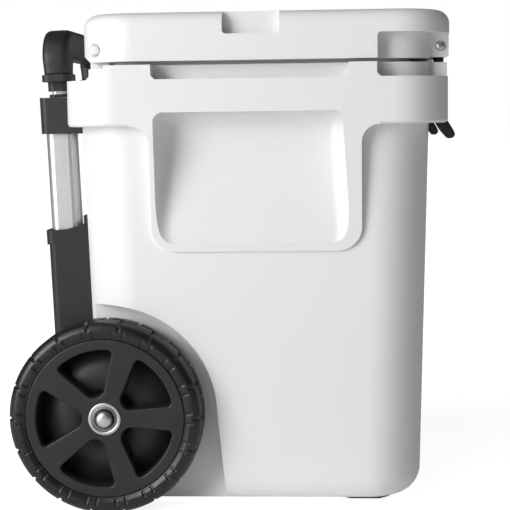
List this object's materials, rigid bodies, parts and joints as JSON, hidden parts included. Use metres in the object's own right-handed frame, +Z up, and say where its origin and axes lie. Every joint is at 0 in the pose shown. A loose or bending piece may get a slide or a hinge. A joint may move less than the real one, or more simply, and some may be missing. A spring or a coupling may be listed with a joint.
{
  "type": "cooler on wheels",
  "caption": "Hard-sided insulated cooler with a hinged latched lid, side wheels on a through axle and a telescoping pull handle.",
  "frame": {"origin": "middle of the overall box's footprint, on the ground, with the handle down and the lid shut", "axes": "+X to the front (latch side), +Y to the cooler's left, along the axle, +Z up"},
  "size_m": [0.483, 0.4826, 0.5325],
  "materials": {
    "white_plastic": "satin rotomoulded polyethylene",
    "foam": "rigid foam core",
    "black_plastic": "satin moulded plastic",
    "grey_plastic": "plain bearing plastic",
    "black_rubber": "matte rubber",
    "foot_rubber": "matte rubber",
    "tyre_rubber": "moulded rubber",
    "steel": "plain steel",
    "zinc_steel": "zinc plated",
    "aluminium_tube": "satin anodised"
  },
  "bodies": {
    "tub": {"body_shell": "white_plastic", "body_foam": "foam", "latch_keepers": "black_plastic", "axle": "steel", "axle_washers": "zinc_steel", "axle_caps": "zinc_steel", "axle_spacers": "grey_plastic", "front_foot_right": "foot_rubber", "front_foot_left": "foot_rubber", "rear_foot_right": "foot_rubber", "rear_foot_left": "foot_rubber", "outer_tube_right": "aluminium_tube", "outer_tube_left": "aluminium_tube", "outer_bushings": "grey_plastic", "upper_bracket": "black_plastic", "lower_housing": "black_plastic", "upper_bracket_screws": "steel", "housing_screws": "steel"},
    "lid": {"lid_shell": "white_plastic", "lid_foam": "foam", "lid_gasket": "black_rubber", "hinge_pin_right": "steel", "hinge_pin_left": "steel", "latch_pin_right": "steel", "latch_pin_left": "steel"},
    "latch_right": {"latch_right": "black_rubber"},
    "latch_left": {"latch_left": "black_rubber"},
    "handle_mid": {"mid_tube_right": "aluminium_tube", "mid_tube_left": "aluminium_tube", "mid_sliders": "grey_plastic", "mid_collars": "black_plastic"},
    "handle_grip": {"inner_tube_right": "aluminium_tube", "inner_tube_left": "aluminium_tube", "inner_sliders": "grey_plastic", "grip_sleeves": "black_plastic", "grip_rings": "black_plastic", "grip": "black_plastic"},
    "wheel_right": {"wheel_rim_right": "black_plastic", "tyre_right": "tyre_rubber", "wheel_bushings_right": "grey_plastic"},
    "wheel_left": {"wheel_rim_left": "black_plastic", "tyre_left": "tyre_rubber", "wheel_bushings_left": "grey_plastic"}
  },
  "joints": [
    {"name": "lid_hinge", "type": "hinge", "parent": "tub", "child": "lid", "pos_m": [-0.1443, 0, 0.4942], "axis": [0, -1, 0], "range_deg": [0, 90]},
    {"name": "latch_right_pivot", "type": "hinge", "parent": "lid", "child": "latch_right", "pos_m": [0.2222, -0.135, 0.4948], "axis": [0, -1, 0], "range_deg": [0, 90]},
    {"name": "latch_left_pivot", "type": "hinge", "parent": "lid", "child": "latch_left", "pos_m": [0.2222, 0.135, 0.4948], "axis": [0, -1, 0], "range_deg": [0, 90]},
    {"name": "handle_mid_slide", "type": "slide", "parent": "tub", "child": "handle_mid", "axis": [-0.0349, 0, 0.9994], "range_m": [0, 0.3]},
    {"name": "handle_grip_slide", "type": "slide", "parent": "handle_mid", "child": "handle_grip", "axis": [-0.0349, 0, 0.9994], "range_m": [0, 0.28]},
    {"name": "wheel_right_spin", "type": "hinge", "parent": "tub", "child": "wheel_right", "pos_m": [-0.1375, -0.2095, 0.104], "axis": [0, 1, 0], "continuous": true},
    {"name": "wheel_left_spin", "type": "hinge", "parent": "tub", "child": "wheel_left", "pos_m": [-0.1375, 0.2095, 0.104], "axis": [0, 1, 0], "continuous": true}
  ]
}
